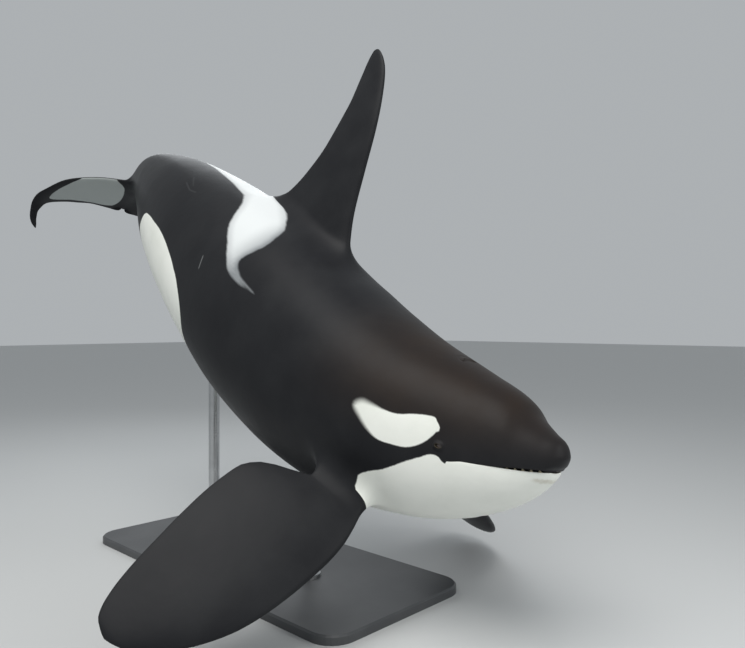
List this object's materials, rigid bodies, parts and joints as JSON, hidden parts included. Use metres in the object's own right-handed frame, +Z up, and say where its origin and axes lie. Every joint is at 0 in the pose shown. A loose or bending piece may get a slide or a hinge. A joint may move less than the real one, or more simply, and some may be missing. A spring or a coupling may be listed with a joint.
{
  "type": "orca",
  "caption": "Life-size still model of an adult male orca diving nose down with its tail arched, held by a plain display stand with a flat base and upright rods.",
  "frame": {"origin": "centre of the whole model's bounding box in plan, at the underside of the stand's base", "axes": "+X the way the animal heads, +Y the animal's left, +Z up"},
  "size_m": [6.0591, 3.4512, 3.846],
  "materials": {
    "skin_dark": "smooth black skin, faintly wet",
    "skin_pale": "smooth white skin of the lower jaw and chin",
    "eye": "dark brown, wet and glossy",
    "stand_base": "satin dark grey paint",
    "stand_rod": "fine brushed steel"
  },
  "bodies": {
    "root": {"head": "skin_dark", "lower_jaw": "skin_pale", "chest": "skin_dark", "trunk": "skin_dark", "tail_stock": "skin_dark", "dorsal_fin": "skin_dark", "flipper_right": "skin_dark", "flipper_left": "skin_dark", "fluke_right": "skin_dark", "fluke_left": "skin_dark", "eye_right": "eye", "eye_left": "eye", "stand_base": "stand_base", "stand_rod_front": "stand_rod", "stand_rod_rear": "stand_rod"}
  },
  "joints": []
}
